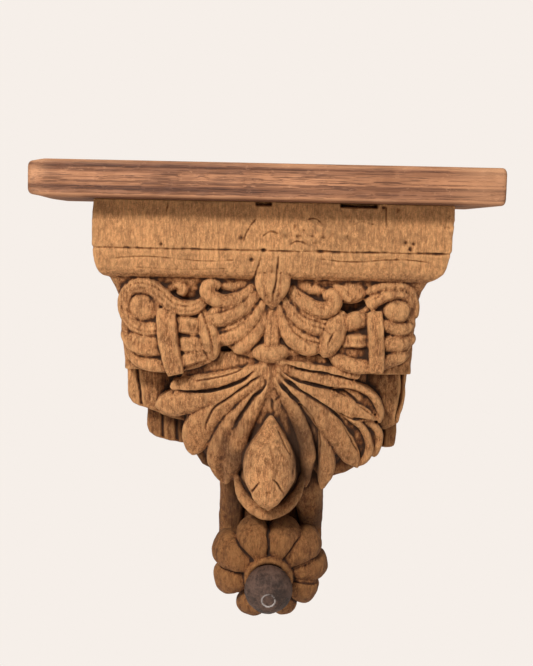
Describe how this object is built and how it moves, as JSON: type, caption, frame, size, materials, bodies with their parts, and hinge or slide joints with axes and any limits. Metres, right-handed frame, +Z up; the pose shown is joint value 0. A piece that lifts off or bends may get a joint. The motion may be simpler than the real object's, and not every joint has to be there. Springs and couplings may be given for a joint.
{
  "type": "carved wooden corbel bracket shelf",
  "caption": "Carved wooden wall corbel that carries a small shelf board, with scrolls, a fan of leaves, a bud and a petalled lotus with a turned knob.",
  "frame": {"origin": "on the flat back that lies against the wall, in the middle of the head moulding", "axes": "+Y into the wall, +Z up, +X to the right as seen from the front"},
  "size_m": [0.26, 0.115, 0.2726],
  "materials": {
    "shelf_wood": "worn, oiled, long dark grain",
    "carved_wood": "aged, dry, dark in the hollows",
    "knob_wood": "dark, waxed, dented"
  },
  "bodies": {
    "root": {"shelf_board": "shelf_wood", "carved_corbel": "carved_wood", "turned_knob": "knob_wood"}
  },
  "joints": []
}
